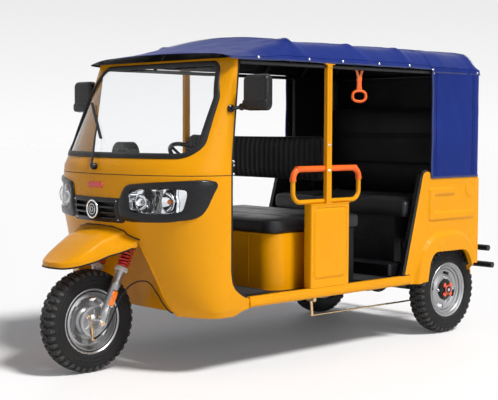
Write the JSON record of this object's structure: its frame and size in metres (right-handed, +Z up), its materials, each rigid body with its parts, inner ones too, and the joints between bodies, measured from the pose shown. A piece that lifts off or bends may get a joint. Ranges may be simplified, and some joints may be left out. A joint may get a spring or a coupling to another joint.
{
  "type": "auto rickshaw",
  "caption": "Three-wheeled passenger vehicle with a rounded steel cab, canvas roof, bench seats, raked steered front fork and wheels that turn.",
  "frame": {"origin": "on the ground under the middle of the vehicle's overall length and width", "axes": "+X forward along the vehicle, +Y to its left, +Z up"},
  "size_m": [3.0729, 1.652, 1.782],
  "materials": {
    "yellow_paint": "gloss",
    "black_steel": "satin",
    "black_plastic": "satin",
    "rubber": "matte",
    "tyre": "matte",
    "seat_vinyl": "satin",
    "blue_canvas": "satin vinyl-coated",
    "orange_plastic": "satin",
    "glass": "clear",
    "lamp_glass": "clear lens",
    "mirror": "mirror",
    "red_plastic": "gloss",
    "silver_paint": "metallic",
    "steel": "satin",
    "red_paint": "gloss",
    "cast_iron": "cast",
    "gold_zinc": "yellow zinc plate"
  },
  "bodies": {
    "body": {"chassis_frame": "black_steel", "cross_members": "black_steel", "floor_pan": "rubber", "sills": "yellow_paint", "nose_panel": "yellow_paint", "windscreen_surround": "yellow_paint", "wheel_tunnel": "yellow_paint", "windscreen": "glass", "windscreen_gasket": "rubber", "grille": "black_plastic", "headlamp_bezels": "black_plastic", "headlamps": "lamp_glass", "front_mudguard": "yellow_paint", "dashboard": "black_plastic", "instrument_pod": "black_plastic", "column_tube": "black_steel", "pedals": "black_plastic", "driver_seat_base": "yellow_paint", "driver_seat_cushion": "seat_vinyl", "driver_backrest": "seat_vinyl", "bench_base": "black_steel", "bench_cushion": "seat_vinyl", "bench_backrest": "seat_vinyl", "wheel_housings": "black_steel", "quarter_panels": "yellow_paint", "quarter_trims": "rubber", "rear_panel": "yellow_paint", "roof_posts": "yellow_paint", "roof_rails": "black_steel", "roof_bows": "black_steel", "side_boxes": "yellow_paint", "handrails": "yellow_paint", "handrail_grips": "orange_plastic", "canopy": "blue_canvas", "rear_curtain": "blue_canvas", "grab_straps": "orange_plastic", "mirrors": "black_plastic", "mirror_glasses": "mirror", "wiper": "black_plastic", "tail_lamps": "red_plastic", "rear_bumper": "black_steel", "engine": "cast_iron", "rear_axle_carrier": "black_steel", "brake_linkage": "gold_zinc"},
    "front_fork": {"fork": "silver_paint", "fork_springs": "red_paint", "front_spindle": "steel", "brake_plate": "silver_paint", "front_brake_cable": "rubber"},
    "front_wheel": {"front_tyre": "tyre", "front_rim": "silver_paint"},
    "steering_wheel": {"steering_wheel": "black_plastic"},
    "rear_wheel_left": {"rear_tyre_left": "tyre", "rear_rim_left": "silver_paint"},
    "rear_wheel_right": {"rear_tyre_right": "tyre", "rear_rim_right": "silver_paint"},
    "engine_door": {"engine_door": "yellow_paint"}
  },
  "joints": [
    {"name": "steering", "type": "hinge", "parent": "body", "child": "front_fork", "pos_m": [1.2115, 0, 0.269], "axis": [-0.4431, 0, 0.8965], "range_deg": [-38, 38], "deforming": ["front_brake_cable"]},
    {"name": "front_wheel_spin", "type": "hinge", "parent": "front_fork", "child": "front_wheel", "pos_m": [1.2465, 0, 0.269], "axis": [0, 1, 0], "continuous": true},
    {"name": "steering_wheel_turn", "type": "hinge", "parent": "body", "child": "steering_wheel", "pos_m": [0.4965, 0, 1.08], "axis": [-0.6157, 0, 0.788], "range_deg": [-95, 95]},
    {"name": "rear_wheel_left_spin", "type": "hinge", "parent": "body", "child": "rear_wheel_left", "pos_m": [-1.0835, 0.52, 0.269], "axis": [0, 1, 0], "continuous": true},
    {"name": "rear_wheel_right_spin", "type": "hinge", "parent": "body", "child": "rear_wheel_right", "pos_m": [-1.0835, -0.52, 0.269], "axis": [0, 1, 0], "continuous": true},
    {"name": "engine_door_hinge", "type": "hinge", "parent": "body", "child": "engine_door", "pos_m": [-1.3385, 0, 0.862], "axis": [0, 1, 0], "range_deg": [0, 80]}
  ],
  "couplings": [
    {"joint": "steering_wheel_turn", "follows": "steering", "ratio": 2.4}
  ]
}
